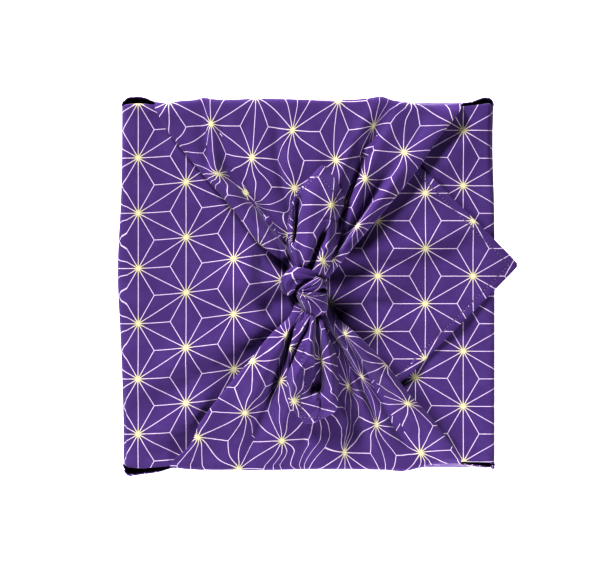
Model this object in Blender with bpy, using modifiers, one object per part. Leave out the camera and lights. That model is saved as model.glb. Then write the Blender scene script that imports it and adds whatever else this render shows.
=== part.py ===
"""A furoshiki wrap: one hemmed cotton square folded round a flat gift box and knotted on top.

+Z is up and the origin is on the table, under the middle of the box. Lengths in the tables are millimetres.
The right flap lies on the box, the left flap over it with its corner past the right edge, and the back and
front flaps (+Y and -Y) run in folds to the knot, where their two corners come out as tails.
"""

from collections import namedtuple
from math import pi

import bmesh
import bpy
import numpy as np

MM = 0.001

# Driving dimensions
CLOTH_SIDE = 700.0
SHEET = 1.2
LAYER_GAP = 0.4
BOX_GAP = 0.3
HALF = 145.4            # half width of the wrap, to the middle of its sheet
CORNER_R = 6.0          # upright corners, in plan
BEND_R = 4.0            # bends at the foot and at the rim
RIM_RISE = 1.2          # how far the layers stand off the box along its edges
BOX_HALF = 138.4
BOX_FOOT = SHEET + BOX_GAP
BOX_TOP = 36.9
BOX_EDGE_R = 2.0
ROLL_R = 2.1            # rolled edges of the gathered flaps
ROLL_TUCK = 11.0        # how far a rolled edge runs back under its flap
TAIL_OVER = 2.2         # a tail's sheet over the flap under it, middle to middle
TAIL_SPAN = 2.5         # a tail bridges dips of the flap narrower than twice this

# Middle of each layer over the box
LAYER = SHEET + LAYER_GAP
RIGHT_Z = BOX_TOP + BOX_GAP + SHEET / 2
LEFT_Z = RIGHT_Z + LAYER
GATHER_Z = LEFT_Z + LAYER

# The left flap's corner, which shows, and the right flap's, which lies under it
CORNER_REACH = CLOTH_SIDE / 2 ** 0.5 - HALF - LEFT_Z - RIM_RISE
LEFT_CORNER = (CORNER_REACH - HALF, 15.6)
RIGHT_CORNER = (HALF - CORNER_REACH, 4.0)
CORNER_DROOP = 3.0

Edge = namedtuple("Edge", "y left right crown")
Fold = namedtuple("Fold", "name near far bow height near_width far_width")
TailRow = namedtuple("TailRow", "y left right lift crease depth")
Swell = namedtuple("Swell", "side middle width amount")
Band = namedtuple("Band", "x y z width depth")

# Outlines of the gathered flaps from the rim to the knot, and how far each is crowned above its layer
BACK_EDGES = (
    Edge(141.4, -119.0, 118.5, 0.0),
    Edge(119.0, -106.5, 101.5, 1.0),
    Edge(89.5, -83.6, 82.5, 2.0),
    Edge(57.6, -56.4, 58.0, 3.5),
    Edge(35.0, -39.5, 38.5, 6.0),
    Edge(19.5, -17.5, 23.7, 9.5),
    Edge(6.0, -9.0, 11.0, 11.0),
)
FRONT_EDGES = (
    Edge(-141.4, -107.0, 118.0, 0.0),
    Edge(-128.0, -92.5, 110.0, 1.0),
    Edge(-109.0, -84.0, 98.5, 1.5),
    Edge(-85.6, -66.5, 77.0, 2.0),
    Edge(-62.0, -46.0, 58.5, 3.5),
    Edge(-40.5, -28.0, 36.0, 6.0),
    Edge(-28.0, -14.4, 21.0, 9.5),
    Edge(-14.0, -7.0, 11.0, 11.0),
)

# Ridges (height above 0) and valleys (below 0) of the gathered flaps
BACK_FOLDS = (
    Fold("left_roll", (-15, 22), (-108, 128), 0, 2.0, 5, 8),
    Fold("left_valley", (-9, 22), (-68, 100), -4, -5.0, 5, 11),
    Fold("middle_dip", (-4, 40), (-20, 122), 0, -2.0, 8, 15),
    Fold("tail_valley", (20, 20), (62, 131), -8, -6.0, 5, 7),
    Fold("crest", (24, 26), (70, 138), -6, 3.0, 4, 8),
    Fold("soft_valley", (26, 30), (62, 90), 0, -4.0, 4, 8),
    Fold("right_roll", (26, 24), (100, 126), 0, 2.5, 5, 8),
    Fold("rim_crease", (-66, 84), (-79, 142), 0, -1.5, 4, 4),
)
FRONT_FOLDS = (
    Fold("left_roll", (-9, -28), (-92, -122), 0, 3.0, 5, 9),
    Fold("left_valley", (-6, -28), (-36, -106), 0, -6.0, 5, 9),
    Fold("tail_valley", (13, -30), (27, -112), 2, -6.0, 4, 9),
    Fold("second_ridge", (14, -28), (46, -108), 2, 4.0, 4, 7),
    Fold("second_valley", (17, -27), (54, -102), 0, -5.0, 3, 6),
    Fold("third_ridge", (19, -26), (64, -106), 0, 4.0, 4, 7),
    Fold("third_valley", (22, -27), (72, -96), 0, -4.0, 3, 6),
    Fold("right_roll", (24, -28), (100, -120), 0, 2.5, 4, 8),
)

# The two corners that come out of the knot and lie back along their flaps
BACK_TAIL = (
    TailRow(6.0, -4.0, 8.0, 9.0, 0.50, 0.0),
    TailRow(16.0, -8.0, 14.0, 12.0, 0.52, 2.0),
    TailRow(28.0, -13.0, 19.0, 13.0, 0.58, 3.0),
    TailRow(42.0, -16.0, 23.5, 12.0, 0.64, 3.0),
    TailRow(57.0, -14.4, 27.6, 10.5, 0.66, 1.5),
    TailRow(71.6, -8.2, 26.0, 9.0, 0.66, 0.5),
    TailRow(83.0, 1.9, 19.8, 7.5, 0.5, 0.0),
    TailRow(92.6, 10.0, 13.0, 6.0, 0.5, 0.0),
)
FRONT_TAIL = (
    TailRow(-13.0, 0.0, 9.0, 4.0, 0.5, 0.0),
    TailRow(-24.0, -2.0, 10.0, 7.0, 0.55, 1.0),
    TailRow(-36.0, -11.0, 11.5, 11.5, 0.68, 4.0),
    TailRow(-50.0, -15.4, 15.0, 12.5, 0.68, 5.0),
    TailRow(-66.0, -15.9, 22.0, 12.5, 0.62, 5.0),
    TailRow(-82.0, -14.4, 23.2, 11.0, 0.66, 4.0),
    TailRow(-93.0, -11.5, 22.5, 9.5, 0.66, 2.0),
    TailRow(-101.0, -6.0, 18.0, 8.0, 0.6, 0.5),
    TailRow(-106.0, -2.0, 8.0, 6.5, 0.5, 0.0),
)

# Where the walls stand a little out or in
SWELLS = (
    Swell("left", 4.0, 34.0, 2.6),
    Swell("front", -60.0, 60.0, -2.2),
    Swell("front", 77.0, 30.0, 1.0),
    Swell("back", 56.0, 14.0, 1.2),
)

# The bands of the knot, by their middle lines: height over the gathered layer, width and depth
KNOT_BANDS = {
    "crossing": (
        Band(15.0, -3.0, 4.0, 14, 8),
        Band(12.5, -1.0, 10.5, 20, 10),
        Band(4.0, -3.0, 15.0, 23, 11),
        Band(-4.0, -5.0, 15.0, 18, 11),
        Band(-10.5, -6.0, 11.0, 12, 10),
        Band(-13.0, -7.0, 5.0, 10, 8),
    ),
    "lower_lobe": (
        Band(-9.0, -6.0, 9.0, 12, 9),
        Band(-2.0, -11.0, 13.0, 18, 11),
        Band(4.5, -16.0, 12.5, 20, 11),
        Band(8.5, -20.5, 8.5, 17, 10),
        Band(11.0, -23.5, 4.0, 12, 8),
    ),
    "upper_lobe": (
        Band(13.0, 5.0, 5.0, 14, 9),
        Band(5.0, 10.0, 10.5, 16, 10),
        Band(-4.5, 9.5, 12.5, 16, 10),
        Band(-12.5, 3.0, 11.0, 15, 10),
        Band(-13.5, -6.0, 5.5, 12, 8),
    ),
}


def smooth_step(value):
    """0 up to 0, 1 from 1, and an even S between."""
    value = np.clip(value, 0.0, 1.0)
    return value * value * (3.0 - 2.0 * value)


def rows_at(table, column, y):
    """A table's column at the given y, run straight from row to row."""
    order = sorted(table, key=lambda row: row.y)
    return np.interp(y, [row.y for row in order], [getattr(row, column) for row in order])


def edge_rise(x, y):
    """How far every layer stands off the box near the box's edges."""
    reach = np.maximum(np.abs(x), np.abs(y))
    return RIM_RISE * smooth_step((reach - 112.0) / 28.0)


def unevenness(x, y):
    """The slow rise and fall that all the layers share."""
    inside = 1.0 - smooth_step((np.maximum(np.abs(x), np.abs(y)) - 100.0) / 35.0)
    waves = 0.35 * np.sin(x / 31.0 + 0.6) * np.sin(y / 37.0 + 0.9) + 0.25 * np.sin((x - y) / 23.0)
    return inside * (0.6 + waves)


def layer_height(level, x, y):
    return level + edge_rise(x, y) + unevenness(x, y)


def fold_relief(folds, x, y):
    """Sum of the folds. Each follows its bowed line with a bell for a section, and fades at its far end."""
    relief = np.zeros(np.broadcast(x, y).shape)
    for fold in folds:
        run_x = fold.far[0] - fold.near[0]
        run_y = fold.far[1] - fold.near[1]
        length = np.hypot(run_x, run_y)
        along = ((x - fold.near[0]) * run_x + (y - fold.near[1]) * run_y) / length ** 2
        across = ((x - fold.near[0]) * run_y - (y - fold.near[1]) * run_x) / length
        on_line = np.clip(along, 0.0, 1.0)
        across = across - 4.0 * fold.bow * on_line * (1.0 - on_line)
        width = fold.near_width + (fold.far_width - fold.near_width) * on_line
        fade = 1.0 - smooth_step((along - 0.55) / 0.55)
        relief += fold.height * fade * np.exp(-(across / width) ** 2)
    return relief


def gather_height(edges, folds, x, y):
    """Height of a gathered flap: its layer, a crown towards the knot, puffed edges and the folds."""
    left = rows_at(edges, "left", y)
    right = rows_at(edges, "right", y)
    share = np.clip((x - left) / (right - left), 0.0, 1.0)
    from_edge = np.maximum(np.minimum(x - left, right - x), 0.0)
    from_rim = HALF - BEND_R - np.abs(y)
    started = smooth_step(from_rim / 22.0)
    crown = rows_at(edges, "crown", y) * (1.0 - (2.0 * share - 1.0) ** 2) ** 0.75
    puff = smooth_step(from_rim / 9.0) * (2.0 * ROLL_R + 0.3) * np.exp(-(from_edge / 15.0) ** 2)
    relief = fold_relief(folds, x, y) * started
    tuck_room = LAYER * started * (1.0 - smooth_step((from_edge - 17.0) / 6.0))
    roll_room = (2.0 * ROLL_R + 0.2) * smooth_step(from_rim / 9.0) * np.exp(-(from_edge / 7.0) ** 2)
    raised = np.maximum(crown + puff + relief, np.maximum(tuck_room, roll_room))
    return layer_height(GATHER_Z, x, y) + raised


def grid_faces(rows, columns, start=0):
    """Quads of a grid whose vertices run row by row."""
    index = start + np.arange(rows * columns).reshape(rows, columns)
    return np.stack(
        [index[:-1, :-1], index[:-1, 1:], index[1:, 1:], index[1:, :-1]], axis=-1
    ).reshape(-1, 4)


def side_plan(along, inset):
    """One side of the wrap in plan, at +Y: straight, then half of each rounded corner."""
    straight = HALF - CORNER_R
    over = np.clip(np.abs(along) - straight, 0.0, CORNER_R)
    angle = over / CORNER_R * pi / 4.0
    radius = CORNER_R - inset
    x = np.sign(along) * (np.minimum(np.abs(along), straight) + radius * np.sin(angle))
    return x, straight + radius * np.cos(angle)


TURNS = {
    "back": lambda x, y: (x, y),
    "right": lambda x, y: (y, -x),
    "front": lambda x, y: (-x, -y),
    "left": lambda x, y: (-y, x),
}
FLAP_COLUMNS = 18
FLAP_ROWS = (141.4, 135, 130, 124, 114, 104, 94, 83, 72, 61, 51, 42, 34, 27, 21, 15)
SIDE_COLUMNS = 9


def stations(first, last, count):
    """Places along one side: half a corner, the pocket beside it, the pleat, the flap, and the same again."""
    straight = HALF - CORNER_R
    corner = [HALF, HALF - CORNER_R / 2.0, straight]
    middle = np.linspace(first, last, count + 1)
    pleats = ([first - PLEAT_STEP], [last + PLEAT_STEP])
    return np.array([-value for value in corner] + pleats[0] + [*middle] + pleats[1] + corner[::-1])


def side_stations():
    """Places along the left and right sides, where the flap takes the whole straight part."""
    straight = HALF - CORNER_R
    corner = [HALF, HALF - CORNER_R / 2.0]
    middle = np.linspace(-straight, straight, SIDE_COLUMNS + 1)
    return np.array([-value for value in corner] + [*middle] + corner[::-1])


SIDES = ("back", "right", "front", "left")
FLAP_STARTS = {
    "back": (BACK_EDGES[0].left, BACK_EDGES[0].right),
    "front": (-FRONT_EDGES[0].right, -FRONT_EDGES[0].left),
}
RIM_Z = {
    "back": GATHER_Z + RIM_RISE - BEND_R,
    "right": RIGHT_Z + RIM_RISE - BEND_R,
    "front": GATHER_Z + RIM_RISE - BEND_R,
    "left": LEFT_Z + RIM_RISE - BEND_R,
}
POCKET_Z = 39.8         # free edges of the corner pockets
PLEAT_PROUD = 1.4       # the gathered flaps' walls lie over the folds beside them
PLEAT_STEP = 1.5
FLOOR_SHARE = 0.96      # the floor's flat face, as a share of the foot
FOOT_FOLD = 8.0         # where those folds start at the foot, from the corners' bends
BESIDE_FLAP = 4         # stations between a corner and a gathered flap
LIP_START = 122.0       # the side flaps' edges turn down from here out
LIP_DROP = (0.0, 1.2, 5.0)


def side_ring(side, height_share, inset, z):
    """One side's part of the ring at a height: its stations lean from the foot to where they are at the rim."""
    straight = HALF - CORNER_R
    if side in FLAP_STARTS:
        first, last = FLAP_STARTS[side]
        rim = stations(first, last, FLAP_COLUMNS)
        foot = stations(-straight + FOOT_FOLD, straight - FOOT_FOLD, FLAP_COLUMNS)
        along = foot + (rim - foot) * height_share
        panel = np.zeros(len(along))
        panel[BESIDE_FLAP:-BESIDE_FLAP] = PLEAT_PROUD * smooth_step(height_share * 2.0)
    else:
        along = side_stations()
        panel = np.zeros(len(along))
    x, y = side_plan(along, inset)
    y = y + panel
    out = np.zeros(len(along))
    for swell in SWELLS:
        if swell.side == side:
            turn = -1.0 if side in ("front", "right") else 1.0
            out += swell.amount * np.exp(-((along - turn * swell.middle) / swell.width) ** 2)
    y = y + out * smooth_step(height_share * 1.5)
    x, y = TURNS[side](x, y)
    return np.stack([x, y, np.full(len(x), float(z))], axis=1)


def ring(height_share, inset, z):
    """The whole ring, clockwise from the back left corner; z is a number or one for each side."""
    parts = [side_ring(side, height_share, inset, z[side] if isinstance(z, dict) else z) for side in SIDES]
    return [part for part in parts]


def rim_ring():
    """The top of the walls. Between a gathered flap and the corner it is the free edge of a pocket."""
    parts = ring(1.0, 0.0, RIM_Z)
    for side, part in zip(SIDES, parts):
        if side in FLAP_STARTS:
            part[:BESIDE_FLAP, 2] = POCKET_Z
            part[-BESIDE_FLAP:, 2] = POCKET_Z
        else:
            part[:2, 2] = POCKET_Z
            part[-2:, 2] = POCKET_Z
    return parts


def joined(parts):
    """A ring's four sides as one closed run, each corner once."""
    return np.concatenate([part[:-1] for part in parts])


def wall_surface():
    """The foot bend and the walls, ring over ring."""
    turn = pi / 4.0
    levels = [
        ring(0.0, BEND_R, SHEET / 2),
        ring(0.0, BEND_R * (1.0 - np.sin(turn)), SHEET / 2 + BEND_R * (1.0 - np.cos(turn))),
        ring(0.05, 0.0, SHEET / 2 + BEND_R),
        ring(0.4, 0.0, 16.0),
        ring(0.75, 0.0, 28.0),
        rim_ring(),
    ]
    points = np.stack([joined(level) for level in levels])
    points = np.concatenate([points, points[:, :1]], axis=1)
    rows, columns = points.shape[:2]
    return points.reshape(-1, 3), grid_faces(rows, columns), levels


def floor_surface(foot):
    """The flat sheet under the box: a strip inside the first ring of the walls, and one face inside that."""
    outer = joined(foot)
    inner = outer * np.array([FLOOR_SHARE, FLOOR_SHARE, 1.0])
    count = len(outer)
    after = [(i + 1) % count for i in range(count)]
    strip = [[i, after[i], count + after[i], count + i] for i in range(count)]
    return np.concatenate([outer, inner]), strip + [list(range(count, 2 * count))]


def side_flap(side, rim, level, corner, xs, edge):
    """The left or right flap: over the rim, then across the box to its corner, inside its two 45 degree hems.

    Beside its own rim, where the corner pockets show, its two edges turn down behind the walls.
    """
    start = rim[2:-2]
    start = start[np.argsort(start[:, 1])]
    sign = -1.0 if side == "left" else 1.0
    share = (start[:, 1] - start[0, 1]) / (start[-1, 1] - start[0, 1])
    bend = start.copy()
    bend[:, 0] -= sign * BEND_R * (1.0 - np.cos(pi / 4.0))
    bend[:, 2] += BEND_R * np.sin(pi / 4.0)
    rows = [np.concatenate([row[:1], row[:1], row, row[-1:], row[-1:]]) for row in (start, bend)]
    for x in xs:
        reach = abs(x - corner[0])
        low = max(-edge, corner[1] - reach)
        high = min(edge, corner[1] + reach)
        y = low + (high - low) * share
        z = layer_height(level, x, y)
        over = max(0.0, abs(x) - (HALF - BEND_R)) if x * sign < 0 else 0.0
        z = z - CORNER_DROOP * (over / 20.0) ** 1.5
        lip = smooth_step((x * sign - LIP_START) / 5.0)
        row = np.stack([np.full_like(y, x), y, z], axis=1)
        turned = [
            [row[end] + np.array([0.0, way * (0.4 * k + 0.5 * k * lip), -LIP_DROP[k] * lip]) for k in (1, 2)]
            for end, way in ((0, -1.0), (-1, 1.0))
        ]
        rows.append(np.concatenate([turned[0][::-1], row, turned[1]]))
    points = np.stack(rows)
    faces = grid_faces(points.shape[0], points.shape[1])
    if side == "left":
        faces = faces[:, ::-1]
    return points.reshape(-1, 3), faces


def rolled_edge(edge_point, out, length, edges, folds):
    """A rolled edge's places: round the roll, then back under the flap, a layer below it."""
    places = []
    for share in ROLL_SHARES:
        run = length * share
        angle = min(run / ROLL_R, pi)
        sideways = ROLL_R * np.sin(angle) - max(run - pi * ROLL_R, 0.0)
        x, y = edge_point[:2] + out * sideways
        z = edge_point[2] - ROLL_R * (1.0 - np.cos(angle))
        if run > pi * ROLL_R:
            z = min(z, float(gather_height(edges, folds, x, y)) - LAYER)
        places.append(np.array([x, y, z]))
    return places


ROLL_SHARES = (0.12, 0.24, 0.37, 1.0)


def gathered_flap(rim, edges, folds, turn):
    """A gathered flap from the rim to the knot, with its two edges rolled under."""
    order = sorted(edges, key=lambda row: -turn * row.y)
    start = rim[BESIDE_FLAP:-BESIDE_FLAP]
    start = start[np.argsort(start[:, 0])]
    share = (start[:, 0] - start[0, 0]) / (start[-1, 0] - start[0, 0])
    bend = start.copy()
    bend[:, 1] -= turn * BEND_R * (1.0 - np.cos(pi / 4.0))
    bend[:, 2] += BEND_R * np.sin(pi / 4.0)
    ys = turn * np.array([*FLAP_ROWS, turn * order[-1].y])
    rows = [start, bend]
    lengths = [0.0, 0.6]
    for y in ys:
        left = rows_at(edges, "left", y)
        right = rows_at(edges, "right", y)
        x = left + (right - left) * share
        z = gather_height(edges, folds, x, np.full_like(x, y))
        rows.append(np.stack([x, np.full_like(x, y), z], axis=1))
        full = pi * ROLL_R + min(ROLL_TUCK, 0.2 * (right - left))
        lengths.append(1.0 + (full - 1.0) * smooth_step((abs(ys[0]) - abs(y) - 5.0) / 14.0))
    wide = []
    for i, row in enumerate(rows):
        before, after = rows[max(i - 1, 0)], rows[min(i + 1, len(rows) - 1)]
        columns = list(row)
        for end, outward in ((0, -1.0), (-1, 1.0)):
            run = after[end, :2] - before[end, :2]
            out = np.array([run[1], -run[0]]) / max(np.hypot(*run), 1e-6)
            if out[0] * outward < 0:
                out = -out
            rolled = rolled_edge(row[end], out, lengths[i], edges, folds)
            columns = rolled[::-1] + columns if end == 0 else columns + rolled
        wide.append(np.array(columns))
    points = np.stack(wide)
    faces = grid_faces(points.shape[0], points.shape[1])
    if turn > 0:
        faces = faces[:, ::-1]
    return points.reshape(-1, 3), faces


def tail_surface(table, edges, folds, columns=10):
    """A tail: a leaf of cloth with turned-down edges and a crease along it, over the flap that it lies on."""
    share = np.linspace(0.0, 1.0, columns + 1)
    arch = np.sin(pi * share)
    rows = []
    for row in table:
        x = row.left + (row.right - row.left) * share
        y = np.full_like(x, row.y)
        spread = min(1.0, (row.right - row.left) / 30.0)
        crease = row.depth * np.exp(-((share - row.crease) / 0.11) ** 2)
        z = layer_height(GATHER_Z, x, y) + row.lift + spread * (4.0 * arch - 2.0) - crease
        near = [
            gather_height(edges, folds, x + side, y + ahead)
            for side in (-TAIL_SPAN, 0.0, TAIL_SPAN)
            for ahead in (-TAIL_SPAN, 0.0, TAIL_SPAN)
        ]
        rows.append(np.stack([x, y, np.maximum(z, np.max(near, axis=0) + TAIL_OVER)], axis=1))
    points = np.stack(rows)
    return points.reshape(-1, 3), grid_faces(len(rows), columns + 1)


def band_surface(stops, around=10, per_stop=3):
    """A closed band along its middle line, oval in section, with rounded ends."""
    table = np.array(stops, dtype=float)
    knots = np.arange(len(table))
    fine = np.linspace(0, len(table) - 1, (len(table) - 1) * per_stop + 1)
    path = np.stack([np.interp(fine, knots, table[:, k]) for k in range(5)], axis=1)
    for _ in range(2):
        path[1:-1] = (path[:-2] + 2.0 * path[1:-1] + path[2:]) / 4.0
    run = np.gradient(path[:, :3], axis=0)
    run /= np.linalg.norm(run, axis=1)[:, None]
    side = np.cross(run, (0.0, 0.0, 1.0))
    side /= np.linalg.norm(side, axis=1)[:, None]
    up = np.cross(side, run)
    end = np.minimum(1.0, 0.45 + 0.55 * np.minimum(fine, fine[::-1]) / 0.8)
    angle = np.linspace(0, 2 * pi, around, endpoint=False)
    section = (
        side[:, None] * (path[:, 3] * end / 2)[:, None, None] * np.cos(angle)[None, :, None]
        + up[:, None] * (path[:, 4] * end / 2)[:, None, None] * np.sin(angle)[None, :, None]
    )
    points = path[:, None, :3] + section
    points[..., 2] += GATHER_Z
    return points.reshape(-1, 3), len(fine), around


def mesh_of(name, points, faces):
    mesh = bpy.data.meshes.new(name)
    mesh.from_pydata((np.asarray(points) * MM).tolist(), [], [list(map(int, face)) for face in faces])
    return mesh


def add_object(name, mesh, collection):
    thing = bpy.data.objects.new(name, mesh)
    collection.objects.link(thing)
    return thing


def weld(mesh, within=2e-5):
    work = bmesh.new()
    work.from_mesh(mesh)
    bmesh.ops.remove_doubles(work, verts=work.verts, dist=within)
    bmesh.ops.dissolve_degenerate(work, edges=work.edges, dist=within)
    bmesh.ops.recalc_face_normals(work, faces=work.faces)
    work.to_mesh(mesh)
    work.free()


def hide_operand(thing):
    thing.hide_render = True
    thing.display_type = "WIRE"


def thicken(thing):
    modifier = thing.modifiers.new("sheet", "SOLIDIFY")
    modifier.thickness = SHEET * MM
    modifier.offset = 0.0


def sheet_object(collection):
    """Floor, walls and the four flaps as one surface, given its thickness."""
    wall_points, wall_faces, levels = wall_surface()
    floor_points, floor_faces = floor_surface(levels[0])
    back, right, front, left = levels[-1]
    top = HALF - BEND_R
    across = [-top, -128, -112, -84, -56, -28, 0, 28, 56, 84, 112, 128, top]
    left_rows = across + [149, 156, 161]
    right_rows = across[:0:-1] + [-139]
    pieces = [
        (wall_points, wall_faces),
        (floor_points, floor_faces),
        side_flap("left", left, LEFT_Z, LEFT_CORNER, left_rows, 139.4),
        side_flap("right", right, RIGHT_Z, RIGHT_CORNER, right_rows, 138.0),
        gathered_flap(back, BACK_EDGES, BACK_FOLDS, 1.0),
        gathered_flap(front, FRONT_EDGES, FRONT_FOLDS, -1.0),
    ]
    points, faces, count = [], [], 0
    for piece_points, piece_faces in pieces:
        points.append(piece_points)
        faces += [[int(index) + count for index in face] for face in piece_faces]
        count += len(piece_points)
    mesh = mesh_of("furoshiki_cloth", np.concatenate(points), faces)
    weld(mesh)
    thing = add_object("furoshiki_cloth", mesh, collection)
    thicken(thing)
    return thing


def knot_operands(collection):
    """The knot's bands and the two tails, which the cloth's sheet is joined with."""
    for name, stops in KNOT_BANDS.items():
        points, rows, around = band_surface(stops)
        index = np.arange(rows * around).reshape(rows, around)
        index = np.concatenate([index, index[:, :1]], axis=1)
        faces = np.stack([index[:-1, :-1], index[:-1, 1:], index[1:, 1:], index[1:, :-1]], axis=-1)
        faces = [list(face) for face in faces.reshape(-1, 4)]
        faces += [list(index[0, :-1]), list(index[-1, :-1][::-1])]
        mesh = mesh_of(name, points, faces)
        weld(mesh)
        hide_operand(add_object("knot_" + name, mesh, collection))
    for name, table, edges, folds in (
        ("back_tail", BACK_TAIL, BACK_EDGES, BACK_FOLDS),
        ("front_tail", FRONT_TAIL, FRONT_EDGES, FRONT_FOLDS),
    ):
        mesh = mesh_of(name, *tail_surface(table, edges, folds))
        weld(mesh)
        tail = add_object(name, mesh, collection)
        thicken(tail)
        hide_operand(tail)


def box_object(collection):
    """The plain box that the cloth is folded round."""
    bpy.ops.mesh.primitive_cube_add(size=1.0)
    box = bpy.context.object
    box.name = "gift_box"
    box.data.name = "gift_box"
    size = (2 * BOX_HALF * MM, 2 * BOX_HALF * MM, (BOX_TOP - BOX_FOOT) * MM)
    work = bmesh.new()
    work.from_mesh(box.data)
    bmesh.ops.scale(work, vec=size, verts=work.verts)
    work.to_mesh(box.data)
    work.free()
    box.location = (0.0, 0.0, (BOX_TOP + BOX_FOOT) / 2 * MM)
    bevel = box.modifiers.new("edges", "BEVEL")
    bevel.width = BOX_EDGE_R * MM
    bevel.segments = 3
    for holder in list(box.users_collection):
        holder.objects.unlink(box)
    collection.objects.link(box)
    return box


def material(name, colour, roughness):
    made = bpy.data.materials.new(name)
    made.use_nodes = True
    shader = made.node_tree.nodes["Principled BSDF"]
    shader.inputs["Base Color"].default_value = (*colour, 1.0)
    shader.inputs["Roughness"].default_value = roughness
    shader.inputs["Metallic"].default_value = 0.0
    return made


def main():
    for thing in list(bpy.data.objects):
        bpy.data.objects.remove(thing, do_unlink=True)
    parts = bpy.data.collections.new("furoshiki_wrap")
    operands = bpy.data.collections.new("knot_pieces")
    for collection in (parts, operands):
        bpy.context.scene.collection.children.link(collection)
    cloth = sheet_object(parts)
    knot_operands(operands)
    for operand in operands.objects:
        union = cloth.modifiers.new(operand.name, "BOOLEAN")
        union.operation = "UNION"
        union.object = operand
        union.solver = "EXACT"
    cloth.data.materials.append(material("printed_cotton", (0.085, 0.032, 0.285), 0.85))
    box = box_object(parts)
    box.data.materials.append(material("plain_card", (0.62, 0.50, 0.36), 0.8))


main()
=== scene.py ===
"""The looks of a furoshiki wrap: a printed cotton square folded round a flat gift box and knotted on top.

All shapes are worked out in millimetres in the frame's axes, +Z up, and turned to metres in the mesh. The
cloth is one sheet. Its faces carry their place on the flat square as a UV map, so that the print runs
over every fold: the flat square has its middle under the box and its corners at X and Y = +-495.
"""

from collections import namedtuple
from math import pi

import bmesh
import bpy
import numpy as np
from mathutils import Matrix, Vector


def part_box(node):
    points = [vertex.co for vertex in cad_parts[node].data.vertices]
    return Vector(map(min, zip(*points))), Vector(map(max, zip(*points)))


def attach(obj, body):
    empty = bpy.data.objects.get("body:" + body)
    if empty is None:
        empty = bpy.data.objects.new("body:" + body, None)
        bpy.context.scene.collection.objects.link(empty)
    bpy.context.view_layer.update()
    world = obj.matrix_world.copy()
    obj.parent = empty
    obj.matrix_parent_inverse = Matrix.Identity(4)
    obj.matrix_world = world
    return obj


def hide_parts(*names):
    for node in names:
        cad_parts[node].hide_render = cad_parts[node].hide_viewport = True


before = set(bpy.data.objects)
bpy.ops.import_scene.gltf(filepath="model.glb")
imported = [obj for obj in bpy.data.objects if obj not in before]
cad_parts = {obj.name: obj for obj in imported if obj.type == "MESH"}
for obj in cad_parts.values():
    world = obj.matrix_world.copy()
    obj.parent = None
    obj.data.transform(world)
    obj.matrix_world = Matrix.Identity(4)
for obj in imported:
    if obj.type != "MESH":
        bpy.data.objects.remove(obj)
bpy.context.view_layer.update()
_, box_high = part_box("gift_box")

MM = 0.001

# Sizes that follow from the frame
BOX_HALF = box_high.x / MM
BOX_TOP = box_high.z / MM
HALF = BOX_HALF + 7.0          # half width of the wrap, to the middle of its sheet

# The cloth
CLOTH_SIDE = 0.7               # metres
HALF_DIAGONAL = CLOTH_SIDE / MM / 2 ** 0.5
SHEET = 0.7
HEM = 5.0
HEM_R = 0.42                   # half the height of a folded hem
CORNER_R = 6.0                 # upright corners, in plan
BEND_R = 4.0                   # bends at the foot and at the rim
RIM = HALF - BEND_R            # where the top starts, inside the rim's bend
LAYER = 1.6                    # from one layer's middle to the next one's
RIGHT_Z = BOX_TOP + 0.9
LEFT_Z = RIGHT_Z + LAYER
GATHER_Z = LEFT_Z + LAYER
FLOOR_Z = 0.45
LEFT_CORNER = (163.57, 15.6)   # where the left and right flaps' corners come to lie
RIGHT_CORNER = (-163.57, 4.0)
ROLL_R = 1.8                   # rolled edges of the gathered flaps
FLAT_RIM = 190.0               # from the flat square's middle to where each flap starts on the top
FLAT_FOOT = RIM
FLAT_TOP = FLAT_RIM + RIM

# The walls
SIDES = ("back", "right", "front", "left")
STRAIGHT = HALF - CORNER_R
PLEAT_PROUD = 1.6              # how far a gathered flap stands in front of the wall that runs in behind it
PLEAT_DEPTH = 9.0
PLEAT_LEAST = 0.3              # its depth at the foot
PLEAT_R = 0.42                 # the pleat's turn at the rim
FOOT_FOLD = 8.0                # where a gathered flap's edges start at the foot, in from the straight's ends
POCKET_Z = 39.8                # free edges of the walls beside the gathered flaps
RIM_PUSH = 0.35                # share of a fold's height that pushes the rim outwards

# How all the layers lie on the box
RIM_RISE = 1.2
RISE_START, RISE_RUN = 112.0, 28.0
CALM_START, CALM_RUN = 100.0, 35.0

Edge = namedtuple("Edge", "y left right lift crown")
# A fold's name is a label. It runs from near towards far in the plan, and fades out about its reach, which
# is a share of that length.
Fold = namedtuple("Fold", "name near far bow height near_width far_width lean reach fade", defaults=(0.3,))
TailRow = namedtuple("TailRow", "y left right lift arch")
Swell = namedtuple("Swell", "side middle width amount")
Rim = namedtuple("Rim", "along out")
Mouth = namedtuple("Mouth", "x low high")
Band = namedtuple("Band", "x y z width depth")
Ray = namedtuple("Ray", "turn reach")
Dent = namedtuple("Dent", "x y length width depth")
Gather = namedtuple("Gather", "way edges folds rim")
Pleats = namedtuple("Pleats", "count start share")
Patch = namedtuple("Patch", "points flat faces")

# Outlines of the gathered flaps from the rim to the knot, how far their edges are lifted, and their crowns

BACK_EDGES = [Edge(*row) for row in (
    (RIM, -119, 118.5, 0, 0),
    (119, -106, 101.5, 0.4, 2.6),
    (89.5, -82, 81.5, 1, 5),
    (57.6, -54, 55, 2.2, 7),
    (35, -35.5, 34.5, 4.4, 6.8),
    (19.5, -13.5, 19.7, 7.2, 4),
    (6, -6.5, 9, 6.5, 2),
)]
FRONT_EDGES = [Edge(*row) for row in (
    (-RIM, -107, 118, 0, 0),
    (-128, -91.5, 109, 0.5, 1.8),
    (-109, -82.5, 97, 1, 4.2),
    (-85.6, -64.5, 75, 2.4, 6.2),
    (-62, -43, 55, 4.8, 6.6),
    (-40.5, -24, 32, 7.2, 5),
    (-28, -10.4, 17, 7.6, 3),
    (-14, -5, 9, 6.5, 2),
)]

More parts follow.
